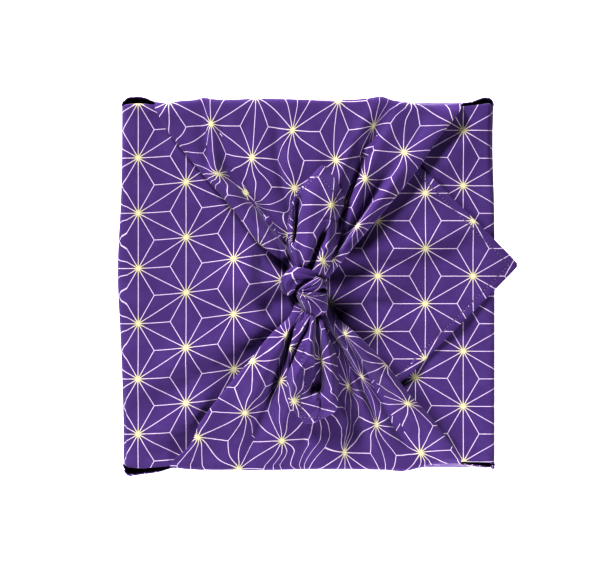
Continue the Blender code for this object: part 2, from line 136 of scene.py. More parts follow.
# Ridges (height above 0) and valleys (below 0), from the knot outwards
BACK_FOLDS = [Fold(*row) for row in (
    ("left_roll", (-20, 19), (-84, 101), 0, 4.6, 5.5, 8, 0.2, 0.95),
    ("left_valley", (-9, 20), (-66, 94), 0, -8, 2.3, 4.2, -0.35, 0.92),
    ("middle_dip", (-10, 46), (-25, 122), -4, -5, 5, 7, 0.4, 0.95),
    ("middle_ridge", (-26, 84), (-33, 132), 0, 1.8, 5, 7, 0, 0.95),
    ("left_dip", (-60, 86), (-71, 128), 0, -1.8, 4, 4, 0.3, 0.95),
    ("panel_ridge", (2, 60), (8, 130), 0, 1.4, 7, 12, 0, 0.85),
    ("tail_valley", (27, 60), (62, 138), -1.5, -10, 2.6, 4.2, -0.3, 1),
    ("valley_brow", (13, 30), (55, 145), -8, 3.4, 4, 5, 0.3, 1.35),
    ("crest", (28, 26), (71, 143), -6, 3.2, 4, 6, -0.2, 1.35),
    ("soft_valley", (27, 34), (66, 90), 0, -5.5, 3, 5, 0.3, 0.9),
    ("right_ridge", (30, 32), (82, 104), 0, 2.6, 3, 5, 0, 0.9),
    ("right_roll", (27, 24), (98, 124), 0, 1.2, 4, 7, -0.2, 0.9),
    ("rim_crease", (-78, 94), (-83, 150), 0, -3, 3, 4, 0.5, 1.4),
    ("rim_ridge", (-73, 90), (-76, 150), 0, 1.8, 4, 5, 0, 1.3),
    ("wrinkle_a", (-48, 70), (-52, 138), 2, -1.4, 4, 6, 0.2, 0.8),
    ("wrinkle_b", (38, 104), (32, 146), 1, -1.4, 4, 6, 0.2, 1.2),
    ("wrinkle_c", (84, 116), (92, 148), 1, -1.4, 4, 6, 0.2, 1.2),
)]
FRONT_FOLDS = [Fold(*row) for row in (
    ("left_valley", (-9.5, -26), (-34, -94), 0, -9, 2.6, 4.4, 0, 0.92),
    ("left_panel", (-16, -38), (-58, -112), 0, 4.4, 4.5, 10, 0, 0.95),
    ("under_tail", (-10, -70), (-24, -122), 0, 3.8, 5, 6, 0, 0.95),
    ("tail_valley", (18, -52), (37, -114), 2.5, -9, 2.6, 4.4, 0.3, 0.95),
    ("first_crease", (9, -25), (33, -82), -5, -7.5, 2.2, 3.2, -0.3, 0.95),
    ("first_ridge", (12, -26), (40, -88), -2, 3.6, 2.6, 4.5, 0.2, 1),
    ("second_crease", (14, -27), (49, -95), -1, -9.5, 2.2, 3.8, 0.4, 0.95),
    ("second_ridge", (17, -28), (57, -98), 0, 4.4, 2.6, 5, 0.2, 1),
    ("third_crease", (20, -29), (62, -92), 0, -7, 2.4, 5, 0.3, 0.9),
    ("third_ridge", (24, -31), (78, -98), 0, 3, 3, 6, 0, 0.9),
    ("right_roll", (26, -32), (100, -120), 0, 2.5, 4, 8, 0, 0.9),
    ("low_crease", (50, -82), (84, -134), 0, -5, 4, 6, 0.3, 1),
    ("low_ridge", (42, -90), (56, -140), 0, 3.8, 5, 7, 0, 1),
    ("rim_swell", (60, -112), (74, -150), 0, 2.6, 8, 12, 0, 1.3),
    ("rim_dip", (28, -112), (32, -150), 0, -3.4, 5, 7, 0.3, 1.2),
    ("wrinkle_a", (-2, -112), (-4, -148), 1, -3, 4, 6, 0.3, 1.1),
    ("wrinkle_b", (-40, -104), (-48, -148), 1, -3.4, 4, 6, 0.2, 1.1),
    ("wrinkle_c", (92, -122), (98, -148), 1, -1.6, 4, 6, 0.2, 1.1),
)]

# Soft creases of the two flaps under them
LEFT_FOLDS = [Fold(*row) for row in (
    ("knot_left", (-17, 2), (-86, -8), 0, 6.4, 9, 13, -0.45, 0.8),
    ("knot_lip", (-45, 24), (-40, -24), 3, 7, 9, 10, -0.45, 1),
    ("beside_front", (-30, -32), (-134, -84), 3, 5.6, 8, 11, -0.35, 1),
    ("mouth_ridge", (-84, -92), (-130, -130), 0, 4.2, 6, 8, -0.3, 1),
    ("beside_back", (-44, 14), (-118, 96), 4, 1.4, 10, 12, 0, 1),
    ("beside_right", (56, 40), (116, 90), 0, 2.4, 7, 9, 0, 1),
    ("upper_wave", (28, 22), (124, 42), 3, 6, 6, 11, 0.35, 1),
    ("knot_right", (20, -3), (88, 0), 0, 6.4, 8, 12, 0.45, 0.8),
    ("lower_wave", (26, -33), (124, -27), -2, 3.2, 8, 11, 0, 1),
    ("lower_wave_b", (56, -56), (90, -70), 0, 2, 6, 7, 0, 1),
)]
RIGHT_FOLDS = [Fold(*row) for row in (
    ("beside_back", (98, 88), (140, 130), 0, 3, 7, 9, -0.2, 1),
    ("beside_front", (70, -92), (120, -128), 0, 1.4, 8, 9, 0, 1),
    ("under_hem", (104, 66), (146, 22), 0, 0.8, 5, 6, 0, 1),
)]

# A tail's outline, and how far its middle and its arch stand over the flap beneath it
BACK_TAIL = [TailRow(*row) for row in (
    (5, -4, 8, 1.5, 0.8),
    (14, -7, 15, 3, 1),
    (26, -12, 20.5, 4.6, 1.2),
    (40, -14.9, 24, 5.4, 1.2),
    (57, -13.4, 26.6, 5.4, 1.2),
    (71.6, -7.2, 25, 4.6, 1.2),
    (82, 1.6, 18.8, 3.4, 1),
    (89, 7.8, 13.6, 2.6, 0.6),
    (92, 10.4, 11.9, 2, 0.3),
)]
BACK_TAIL_FOLDS = [Fold(*row) for row in (
    ("left_gap", (-10.6, 38), (-7.6, 68), 0, -11, 1.2, 3.2, -0.1, 0.92, 0.22),
    ("left_strip", (-9, 20), (-13.6, 62), 0, 1.6, 2, 2.2, 0, 1),
    ("panel", (-2, 26), (5, 76), 0, 2.2, 5, 8, 0, 1),
    ("centre_gap", (-1.8, 9), (12.6, 44), 0, -10, 1.8, 3.4, -0.5, 0.95, 0.25),
    ("right_roll", (7, 12), (19, 66), 2, 2, 3, 5, 0, 1),
    ("right_fall", (20, 18), (28, 68), 2, -12, 5, 7, 0, 1),
    ("left_fall", (-16, 26), (-17, 62), 0, -5, 2.6, 2.6, 0, 1),
    ("cross_dent", (14, 51), (28, 50), 0, -2, 1.4, 1.8, 0, 1),
)]
FRONT_TAIL = [TailRow(*row) for row in (
    (-20, 1, 8, 0, 0.4),
    (-25, -2.5, 9.2, 0.8, 0.8),
    (-30, -6.5, 10.4, 3, 1),
    (-40, -10.8, 14.2, 5.2, 1),
    (-50, -13.8, 19, 6.2, 1),
    (-64, -15.4, 21.4, 6.6, 1),
    (-77, -15.2, 21.8, 6.6, 1.2),
    (-90, -13.6, 20.8, 6.2, 1.6),
    (-98, -9.4, 18.4, 5.2, 1.6),
    (-103, -5.4, 10, 3.8, 1),
    (-107, -2.2, 1.4, 2.8, 0.3),
)]
FRONT_TAIL_FOLDS = [Fold(*row) for row in (
    ("upper_roll", (4.2, -20), (0.5, -58), 0, 3.6, 2.2, 3, 0.3, 0.95, 0.15),
    ("lower_roll", (0.5, -56), (-11.3, -92), 5.5, 3.6, 3, 3.2, 0, 1.05, 0.15),
    ("leaf_dip", (-1, -34), (-16.5, -84), 4.5, -5, 1.7, 2.6, 0.3, 1),
    ("hollow", (6.8, -24), (6.6, -84), 0, -18, 1.2, 4.8, -0.1, 1, 0.10),
    ("inner_fold", (3.6, -58), (6, -88), 0, 6, 1.3, 1.9, 0, 1, 0.12),
    ("right_roll", (9.5, -24), (18.6, -90), -2.3, 3.4, 2, 3.8, 0, 1.1),
    ("end_swell", (-6, -99), (16, -93), 0, 2.6, 6, 6, 0, 1.3),
    ("end_crease", (8.8, -90), (6, -103), 0, -3, 1.3, 2.2, 0, 1),
)]

# How far the back and front walls' tops stand out of the wrap's square, from corner to corner
BACK_RIM = [Rim(*row) for row in (
    (-HALF, -0.6), (-139, 0.7), (-128, 0.4), (-120, -2.8), (-97, -1.8), (-87, -1),
    (-82, 0.5), (-76, -0.5), (-40, -0.3), (48, 0), (58, 1.1), (66, -1.6),
    (76, -3.6), (120, -3.9), (127, -2.9), (138, 0.6), (HALF, -0.4),
)]
FRONT_RIM = [Rim(*row) for row in (
    (-HALF, 1), (-139.6, 3.2), (-133, 2.2), (-116, -0.2), (-106, -3), (-96, -2.2),
    (20, -2), (60, -1.6), (76, -0.8), (84, -2.6), (94, -5.2), (119, -6.2),
    (132, -4.8), (HALF, -3),
)]

# The two edges of the left and right flaps where they lie behind the walls, in Y at each X
LEFT_MOUTH = [Mouth(*row) for row in (
    (-146, -139.6, 138.6), (-140, -140.6, 139.6), (-122, -141.4, 139.8),
    (-104, -140, 139.4), (150, -139.4, 139.4),
)]
RIGHT_MOUTH = [Mouth(*row) for row in (
    (96, -138, 138.6), (112, -137.4, 138.6), (123, -137, 138.8),
    (132, -137, 139.4), (142, -137.2, 140.4), (146, -137, 140.4),
)]

GATHERS = {
    "back": Gather(1.0, BACK_EDGES, BACK_FOLDS, BACK_RIM),
    "front": Gather(-1.0, FRONT_EDGES, FRONT_FOLDS, FRONT_RIM),
}

SWELLS = [Swell(*row) for row in (
    ("left", 10, 50, 3.4),
    ("left", -120, 40, -1.2),
    ("right", 110, 40, -1.6),
)]

# The knot: its front band fans out from a pinch, and its upper band passes behind it
PINCH = (-10.2, -5.4)
KNOT_UPPER = [Band(*row) for row in (
    (13, -2, 5, 9, 8),
    (9.5, 2.5, 10, 11, 11),
    (4.5, 5, 14, 13, 14),
    (-3, 7.4, 16.5, 14, 15),
    (-9.5, 7.4, 16.5, 14, 15),
    (-14.6, 3.4, 13.5, 13, 14),
    (-16, -2, 9, 12, 12),
    (-12.5, -5.5, 5, 9, 9),
)]
SHELL_RISE = 25.0
SHELL_REACH = [Ray(*row) for row in (
    (-74, 13), (-63, 20), (-50, 25.5), (-35, 28.4), (-18, 26.2),
    (-2, 25.2), (15, 24.6), (28, 23.6), (46, 19),
)]


def smooth_step(value):
    """0 up to 0, 1 from 1, and an even S between: three times the square less twice the cube."""
    value = np.clip(value, 0.0, 1.0)
    return value * value * (3.0 - 2.0 * value)


def not_below(height, floor, sharpness):
    """The height where it is well over the floor, the floor where it is under, and a smooth bend between."""
    return floor + np.logaddexp(0.0, (height - floor) * sharpness) / sharpness


def rows_at(table, column, place):
    """A table's column where its first column has the given value: a smooth curve through its rows.

    Between two rows it is the cubic that has both rows' values and slopes.
    """
    order = sorted(table, key=lambda row: row[0])
    at = np.array([row[0] for row in order])
    value = np.array([getattr(row, column) for row in order])
    slope = np.gradient(value, at)
    k = np.clip(np.searchsorted(at, place) - 1, 0, len(at) - 2)
    span = at[k + 1] - at[k]
    t = np.clip((place - at[k]) / span, 0.0, 1.0)
    return (
        (1 + 2 * t) * (1 - t) ** 2 * value[k]
        + t * (1 - t) ** 2 * span * slope[k]
        + t * t * (3 - 2 * t) * value[k + 1]
        - t * t * (1 - t) * span * slope[k + 1]
    )


def layer_height(level, x, y):
    """A layer's level, with the rise along the box's edges and the slow waves that all the layers share.

    The rise is an S of the distance from the middle along the farther axis. The waves are two sines
    multiplied and one sine across, and they calm down to nothing at the rim.
    """
    out = np.maximum(np.abs(x), np.abs(y))
    rise = RIM_RISE * smooth_step((out - RISE_START) / RISE_RUN)
    calm = 1.0 - smooth_step((out - CALM_START) / CALM_RUN)
    waves = 0.35 * np.sin(x / 31.0 + 0.6) * np.sin(y / 37.0 + 0.9) + 0.25 * np.sin((x - y) / 23.0)
    return level + rise + calm * (0.6 + waves)


TAKEN_MOST = 14.0              # the most cloth that one fold takes up
FOLD_LEAD = 0.35               # how long a fold takes to start, as a share of its length


def fold_frame(fold, x, y):
    """Distance across a fold's bowed line, the fold's width and strength there, and the way the line runs.

    The bow is a parabola, the width runs evenly from end to end, and it is more on one side by the lean.
    """
    run = np.array(fold.far, float) - fold.near
    length = np.hypot(*run)
    along = ((x - fold.near[0]) * run[0] + (y - fold.near[1]) * run[1]) / length ** 2
    on_line = np.clip(along, 0.0, 1.0)
    across = ((x - fold.near[0]) * run[1] - (y - fold.near[1]) * run[0]) / length
    across = across - 4.0 * fold.bow * on_line * (1.0 - on_line)
    width = fold.near_width + (fold.far_width - fold.near_width) * on_line
    width = width * (1.0 + fold.lean * np.tanh(-across / 2.0))
    fade = 1.0 - smooth_step((along - fold.reach + fold.fade) / (2.0 * fold.fade))
    fade = fade * smooth_step((along + FOLD_LEAD) / FOLD_LEAD)
    return across, width, fade, run / length


def fold_relief(folds, x, y):
    """Sum of the folds: each a bell across its line, e to minus the 1.7th power of across over width."""
    relief = np.zeros(np.broadcast(x, y).shape)
    for fold in folds:
        across, width, fade, _ = fold_frame(fold, x, y)
        relief += fold.height * fade * np.exp(-np.abs(across / width) ** 1.7)
    return relief


def unfolded(folds, x, y):
    """Where a point of the plan lies once the folds are pulled flat.

    Each fold moves it across by half the cloth that the fold takes up, which is its height squared over its
    width times a factor.
    """
    shift_x = np.zeros(np.broadcast(x, y).shape)
    shift_y = np.zeros_like(shift_x)
    for fold in folds:
        across, width, fade, run = fold_frame(fold, x, y)
        taken = np.clip(1.3 * fold.height ** 2 / width * fade, 0.0, TAKEN_MOST)
        shift = taken / 2.0 * np.tanh(1.2 * across / width)
        shift_x += run[1] * shift
        shift_y -= run[0] * shift
    return x + shift_x, y + shift_y


def bare_place(folds, x, y):
    """As unfolded, with the flap's rim kept in its place on the average."""
    rim_x = np.linspace(-100.0, 100.0, 41)
    rim_y = np.full_like(rim_x, np.sign(np.mean(y)) * RIM)
    _, moved = unfolded(folds, rim_x, rim_y)
    bare_x, bare_y = unfolded(folds, x, y)
    return bare_x, bare_y - np.mean(moved - rim_y)


NECK = (-2.0, -4.0)            # where the fine pleats of both gathered flaps run in to
NECK_REACH = 82.0
NECK_GROWS = 60.0
NECK_HEIGHT = 3.0
NECK_PLEATS = (Pleats(8.5, 0.7, 1.0), Pleats(13.5, 2.1, 0.7), Pleats(21.0, 0.4, 0.4))


def neck_pleats(x, y):
    """Fine pleats that run in to the knot: sums of sines' sizes by the angle round it, stronger near it."""
    dx, dy = x - NECK[0], y - NECK[1]
    away = np.hypot(dx, dy)
    turn = np.arctan2(dx, dy) + 0.05 * np.sin(away / 9.0)
    ripple = sum(pleats.share * np.abs(np.sin(pleats.count * turn + pleats.start)) for pleats in NECK_PLEATS)
    return NECK_HEIGHT * smooth_step((NECK_REACH - away) / NECK_GROWS) * (ripple - 1.2)


ROLL_GROWS = 9.0               # from the rim to where the rolled edges have their full height
FOLDS_GROW = 26.0              # from the rim to where the folds have theirs
PUFF_WIDTH = 13.0


def gather_height(edges, folds, x, y):
    """Height of a gathered flap: its layer, lifted like a tent towards the knot, with folds and fine pleats.

    The lift is the edges', and the crown is an arch over them. A bell along each edge puffs it up over its
    roll. The folds never dip below the layer that carries the flap, nor into the room that the rolls need.
    """
    left, right, lift, crown = (rows_at(edges, name, y) for name in ("left", "right", "lift", "crown"))
    share = np.clip((x - left) / (right - left), 0.0, 1.0)
    from_edge = np.maximum(np.minimum(x - left, right - x), 0.0)
    from_rim = RIM - np.abs(y)
    rolled = smooth_step(from_rim / ROLL_GROWS)
    arch = crown * (1.0 - (2.0 * share - 1.0) ** 2) ** 0.75
    puff = rolled * (2.0 * ROLL_R + 0.3) * np.exp(-(from_edge / PUFF_WIDTH) ** 2)
    grown = 0.35 + 0.65 * smooth_step(from_rim / FOLDS_GROW)
    relief = (fold_relief(folds, x, y) + neck_pleats(x, y)) * grown
    room = rolled * (lift + 2.0 * ROLL_R + 0.2) * np.exp(-(from_edge / (7.0 + 0.5 * lift)) ** 2)
    return layer_height(GATHER_Z, x, y) + not_below(lift + arch + puff + relief, room, 1.6)


def places_at(*coordinates):
    """Places from their coordinates, each given as one number or as one for each place."""
    return np.stack(np.broadcast_arrays(*coordinates), axis=-1)


def grid_patch(rows, flip=False):
    """A patch from rows, each its points and their flat places: a quad between each four neighbours."""
    points, flat = (np.stack(places) for places in zip(*rows))
    index = np.arange(points[..., 0].size).reshape(points.shape[:2])
    faces = np.stack([index[:-1, :-1], index[:-1, 1:], index[1:, 1:], index[1:, :-1]], axis=-1)
    faces = faces.reshape(-1, 4)
    return Patch(points.reshape(-1, 3), flat.reshape(-1, 2), faces[:, ::-1] if flip else faces)


def widened(row, first, last):
    """A row with more places at both ends, each end's given from the row outwards."""
    return np.concatenate([first[::-1], row, last])


# ---- Floor and walls ----

FLAP_COLUMNS = 84
SIDE_COLUMNS = 44
HEM_OFFSETS = np.array([0.0, 1.2, 2.8, 4.4, 5.2, 6.4])
CORNER_STEPS = 4
PLEAT_STEPS = 12
FLAP_STEPS = 4                 # a pleat's places that belong to the flap
PLEAT_RUN = CORNER_STEPS + 1 + PLEAT_STEPS + 2 + FLAP_STEPS
TURN_R = 0.25                  # the pleat's turns in the wall, half across
WALL_WAVE = 1.5
WALL_WAVE_RUN = 17.0
BEND_ANGLES = np.linspace(0.0, pi / 2.0, 5)
WALL_SHARES = (0.12, 0.25, 0.4, 0.55, 0.7, 0.85, 1.0)
FLOOR_SHARES = (1.0, 0.96, 0.6, 0.25)
LEVELS = {"back": GATHER_Z, "right": RIGHT_Z, "front": GATHER_Z, "left": LEFT_Z}
RIM_Z = {side: level + RIM_RISE - BEND_R for side, level in LEVELS.items()}


def side_offsets(width):
    """Places across a side flap of the given width, from edge to edge: close together over each hem."""
    hem = np.minimum(HEM_OFFSETS, width * HEM_OFFSETS / HEM_OFFSETS[-1] * 0.16)
    middle = np.linspace(hem[-1], width - hem[-1], SIDE_COLUMNS + 1)[1:-1]
    return np.concatenate([hem, middle, (width - hem)[::-1]])


def corner_plan(along, inset):
    """One side of the wrap in plan, at +Y: straight, then half of each rounded corner."""
    over = np.clip(np.abs(along) - STRAIGHT, 0.0, CORNER_R)
    angle = over / CORNER_R * pi / 4.0
    radius = CORNER_R - inset
    x = np.sign(along) * (np.minimum(np.abs(along), STRAIGHT) + radius * np.sin(angle))
    return x, STRAIGHT + radius * np.cos(angle)


def turned(side, x, y):
    """A place on the side at +Y, turned to the named side."""
    return {"back": (x, y), "right": (y, -x), "front": (-x, -y), "left": (-y, x)}[side]


def pleated_run(share, edge_foot, edge_rim):
    """Half a side with a pleat: places along it from the corner in, and how far each stands out.

    The inner layer runs in past the flap's edge, turns back to it, and turns again into the flap.
    """
    edge = edge_foot + (edge_rim - edge_foot) * share
    depth = PLEAT_LEAST + (PLEAT_DEPTH - PLEAT_LEAST) * smooth_step(share * 1.4)
    corner = np.linspace(HALF, STRAIGHT, CORNER_STEPS + 1)
    inner = STRAIGHT + (edge - depth - STRAIGHT) * np.linspace(0.0, 1.0, PLEAT_STEPS + 1)[1:]
    turn = np.array([edge - depth - TURN_R, edge - depth])
    middle = np.linspace(edge - depth, edge, 4)[1:]
    out = np.array([edge + TURN_R])
    along = np.concatenate([corner, inner, turn, middle, out])
    behind = smooth_step((edge + 1.5 - inner) / 4.0)
    stand = np.concatenate([np.zeros(len(corner)), behind, [0.75, 0.5], [0.5] * 3, [0.25]])
    return along, -stand * PLEAT_PROUD * smooth_step(share * 3.0)


def rim_relief(side, x):
    """How far a gathered flap's folds lift and push out the rim, at plan x."""
    way, edges, folds, _ = GATHERS[side]
    y = np.full_like(x, way * RIM)
    return gather_height(edges, folds, x, y) - layer_height(GATHER_Z, x, y)


def side_places(side, share):
    """Places along one side at a height share, how far each stands out, and those of its gathered flap."""
    if side not in GATHERS:
        corner = np.linspace(HALF, STRAIGHT, CORNER_STEPS + 1)[:-1]
        along = np.concatenate([-corner, side_offsets(2.0 * STRAIGHT) - STRAIGHT, corner[::-1]])
        return along, np.zeros(len(along)), None
    way, edges, _, _ = GATHERS[side]
    first, last = sorted((way * edges[0].left, way * edges[0].right))
    foot = STRAIGHT - FOOT_FOLD
    left, left_stand = pleated_run(share, foot, -first)
    right, right_stand = pleated_run(share, foot, last)
    panel = np.linspace(-foot + (first + foot) * share, foot + (last - foot) * share, FLAP_COLUMNS + 1)
    along = np.concatenate([-left, panel, right[::-1]])
    return along, np.concatenate([left_stand, np.zeros(len(panel)), right_stand[::-1]]), panel


def side_ring(side, share, inset, z, flat_out):
    """One side's part of the ring at a height share: places and their flat places, clockwise from above.

    The side's swells are bells along it, and between foot and rim it waves a little in and out. Beside a
    gathered flap the cloth comes round the corner, so there its flat places are the next side's.
    """
    along, stand, panel = side_places(side, share)
    x, y = corner_plan(along, inset)
    z = np.full(len(x), float(z))
    way = -1.0 if side in ("front", "right") else 1.0
    for swell in SWELLS:
        if swell.side == side:
            out = swell.amount * np.exp(-((along - way * swell.middle) / swell.width) ** 2)
            y = y + out * share ** 1.2
    y = y + stand + WALL_WAVE * share * (1.0 - share) * np.sin(along / WALL_WAVE_RUN + len(side))
    flat = places_at(along, flat_out)
    beside = np.ones(len(along), bool)
    corner = CORNER_STEPS if panel is None else PLEAT_RUN - FLAP_STEPS
    beside[corner:-corner] = False
    if share == 1.0:
        z[beside] = POCKET_Z
    if panel is not None:
        _, _, folds, rim = GATHERS[side]
        y = y + rows_at(rim, "out", way * along) * share ** 1.5
        y[PLEAT_RUN:-PLEAT_RUN] += rim_relief(side, way * panel) * share ** 2 * RIM_PUSH
        bare_x, bare_y = bare_place(folds, way * along, np.full_like(x, way * RIM))
        flat += places_at(way * bare_x - along, RIM - way * bare_y) * share
        beside |= np.abs(along) > np.where(along < 0, -panel[0], panel[-1]) + 0.05
        round_corner = places_at(np.sign(along) * flat_out, FLAT_FOOT + HALF - np.abs(along))
        flat[beside] = round_corner[beside]
    return places_at(*turned(side, x, y), z), places_at(*turned(side, *flat.T))


def wall_patches():
    """The walls as rings from the foot's bend to the rim, the floor as rings inside them, and its middle.

    The bend is a quarter turn. From there each ring is its height share up the wall, in the plan and flat.
    """
    foot_z = FLOOR_Z + BEND_R
    stages = [(angle, 0.0) for angle in BEND_ANGLES] + [(pi / 2.0, share) for share in WALL_SHARES]
    rings = []
    for angle, share in stages:
        inset = BEND_R * (1.0 - np.sin(angle))
        flat_out = FLAT_FOOT + BEND_R * angle + share * (FLAT_RIM - BEND_R * pi - FLAT_FOOT)
        parts = []
        for side in SIDES:
            z = foot_z - BEND_R * np.cos(angle) + (RIM_Z[side] - foot_z) * share
            parts.append(side_ring(side, share, inset, z, flat_out))
        rings.append([np.concatenate([part[k] for part in parts] + [parts[0][k][:1]]) for k in (0, 1)])
    floor = [rings[0][0] * (share, share, 1.0) for share in FLOOR_SHARES]
    strips = grid_patch([(ring, ring[:, :2]) for ring in floor], flip=True)
    inner = floor[-1][:-1]
    middle = Patch(inner, inner[:, :2], [list(range(len(inner)))])
    return [grid_patch(rings), strips, middle], dict(zip(SIDES, parts))


# ---- The two flaps under the gathered ones ----

LIP_START, LIP_RUN = 121.0, 6.0
LIP_DROP = np.array([0.4, 1.2, 2.6, 5.0, 8.0])
LIP_OUT = np.array([0.5, 1.0, 1.3, 1.5, 1.6])
ASIDE_RUN = 170.0              # over which a flap's flat place comes to lie aside, as its corner does
HEM_TURN = np.array([0.33, 0.67, 1.0]) * pi
HEM_OUT = np.concatenate([HEM_R * np.sin(HEM_TURN), [-HEM / 2.0, -HEM]])
HEM_DROP = np.concatenate([HEM_R * (1.0 - np.cos(HEM_TURN)), [2.0 * HEM_R] * 2])
HEM_RUN = np.concatenate([HEM_R * HEM_TURN, [HEM / 2.0 + 1.3, HEM + 1.3]])
NARROW = 12.0                  # under this width a flap's hems are smaller
DIP_MOST = 0.75                # how far a side flap's creases may dip under its level
PUCKER = 0.12
PUCKER_RUN = 1.9
DROOP = 3.0
DROOP_RUN = 20.0               # past the rim, over which the overhanging corner droops


def rim_part(rim, axis, skip):
    """The wall's top under a flap, without the given places at both ends, in order along an axis."""
    points, flats = (part[skip:-skip] for part in rim)
    order = np.argsort(points[:, axis])
    return points[order], flats[order]


def rim_bend(start, start_flat, axis, way, lifted=0.0):
    """A flap's first rows: a quarter turn from its wall's top on to the box, wider where folds lift it."""
    rows, flats = [], []
    for angle in BEND_ANGLES[:-1]:
        row, flat = start.copy(), start_flat.copy()
        row[:, axis] -= way * (BEND_R + 0.7 * lifted) * (1.0 - np.cos(angle))
        row[:, 2] += (BEND_R + lifted) * np.sin(angle)
        flat[:, axis] += way * BEND_R * angle
        rows.append(row)
        flats.append(flat)
    return rows, flats


def turned_ends(row, flat, lip, hemmed, sign):
    """A row with both ends turned: by shares a hem's half turn and run back, or a lip, out and down."""
    narrow = min(1.0, (row[-1, 1] - row[0, 1]) / NARROW)
    out, drop, run = (
        (1.0 - lip) * hem + lip * turned
        for hem, turned in ((HEM_OUT * narrow, LIP_OUT), (HEM_DROP, LIP_DROP), (HEM_RUN, LIP_DROP))
    )
    ends, end_flats = [], []
    for end, way in ((0, -1.0), (-1, 1.0)):
        x_out, y_out = (-sign * 0.7, 0.7 * way) if hemmed[end] else (0.0, way)
        ends.append(row[end] + places_at(out * x_out, out * y_out, -drop))
        end_flats.append(flat[end] + run[:, None] * (0.0, way))
    return widened(row, *ends), widened(flat, *end_flats)


def side_flap(side, rim, level, corner, xs, mouth, folds):
    """The left or right flap: round the rim's bend, then across the box to its corner, inside its two hems.

    A row at x runs from hem to hem, which lie 45 degrees out from the corner. Each hem turns under on a
    small radius and runs back, and its seam puckers by a fine sine. By its own rim the flap's edges turn
    down behind the walls instead, and past the far rim its corner droops.
    """
    sign = -1.0 if side == "left" else 1.0
    rows, flats = rim_bend(*rim_part(rim, 1, CORNER_STEPS), 0, sign)
    turns = [(1.0, (False, False))] * len(rows)
    for x in xs:
        reach = abs(x - corner[0])
        ends = float(rows_at(mouth, "low", x)), float(rows_at(mouth, "high", x))
        hemmed = corner[1] - reach > ends[0], corner[1] + reach < ends[1]
        low = max(ends[0], corner[1] - reach)
        high = min(ends[1], corner[1] + reach)
        y = low + side_offsets(high - low)
        from_hem = np.minimum(y - low, high - y)
        z = layer_height(level, x, y) + fold_relief(folds, np.full_like(y, x), y)
        z = np.maximum(z, level - 0.1 if side == "right" else layer_height(level - DIP_MOST, x, y))
        z = z + HEM_R * (1.0 - smooth_step((from_hem - HEM) / 0.8))
        z = z + PUCKER * np.sin((x - y) / PUCKER_RUN) * smooth_step(1.0 - np.abs(from_hem - HEM) / 5.0)
        over = max(0.0, -sign * x - RIM) / DROOP_RUN
        z = z - DROOP * over ** 1.5 + 0.8 * over * np.sin((y - corner[1]) / 7.0)
        rows.append(places_at(x, y, z))
        aside = corner[1] * float(smooth_step((RIM - sign * x) / ASIDE_RUN))
        flats.append(places_at(sign * (FLAT_TOP - sign * x), y - aside))
        turns.append((float(smooth_step((x * sign - LIP_START) / LIP_RUN)), hemmed))
    wide = [turned_ends(row, flat, *turn, sign) for row, flat, turn in zip(rows, flats, turns)]
    return grid_patch(wide, flip=side == "left")


# ---- The gathered flaps ----

TUCK_GAP = 0.85
TUCK_REACH = 134.0             # a tucked edge stays this near the middle, inside the rim
TUCK_MOST = 42.0
TUCK_SHARE = 0.34              # of the flap's width, which an edge is tucked in at most
EDGE_GROWS = 22.0              # from the rim to where the rolled edges are as wide as they get
FLAP_ROWS = 80


def rolled_edge(edge_point, out, down, radius, length, edges, folds):
    """A rolled edge: half a turn under on its radius, then back beneath the flap, close under it."""
    steps = np.concatenate([np.linspace(0.0, pi * radius, 8)[1:], np.linspace(pi * radius, length, 6)[1:]])
    angle = np.minimum(steps / radius, pi)
    sideways = radius * np.sin(angle) - np.maximum(steps - pi * radius, 0.0)
    sunk = radius * (1.0 - np.cos(angle))
    places = edge_point + out * sideways[:, None] + down * sunk[:, None]
    tucked = steps > pi * radius
    if down[2] < -0.9:
        way = np.sign(edge_point[1])
        farthest = max(TUCK_REACH, way * edge_point[1])
        places[tucked, 1] = way * np.minimum(way * places[tucked, 1], farthest)
        x, y = places[tucked, 0], places[tucked, 1]
        places[tucked, 2] = np.minimum(places[tucked, 2], gather_height(edges, folds, x, y) - TUCK_GAP)
    return places, steps


def flap_progress():
    """How far a gathered flap's rows are on from rim to knot: a parabola, closer together by the knot."""
    u = np.linspace(0.0, 1.0, FLAP_ROWS)
    return 1.35 * u - 0.35 * u ** 2


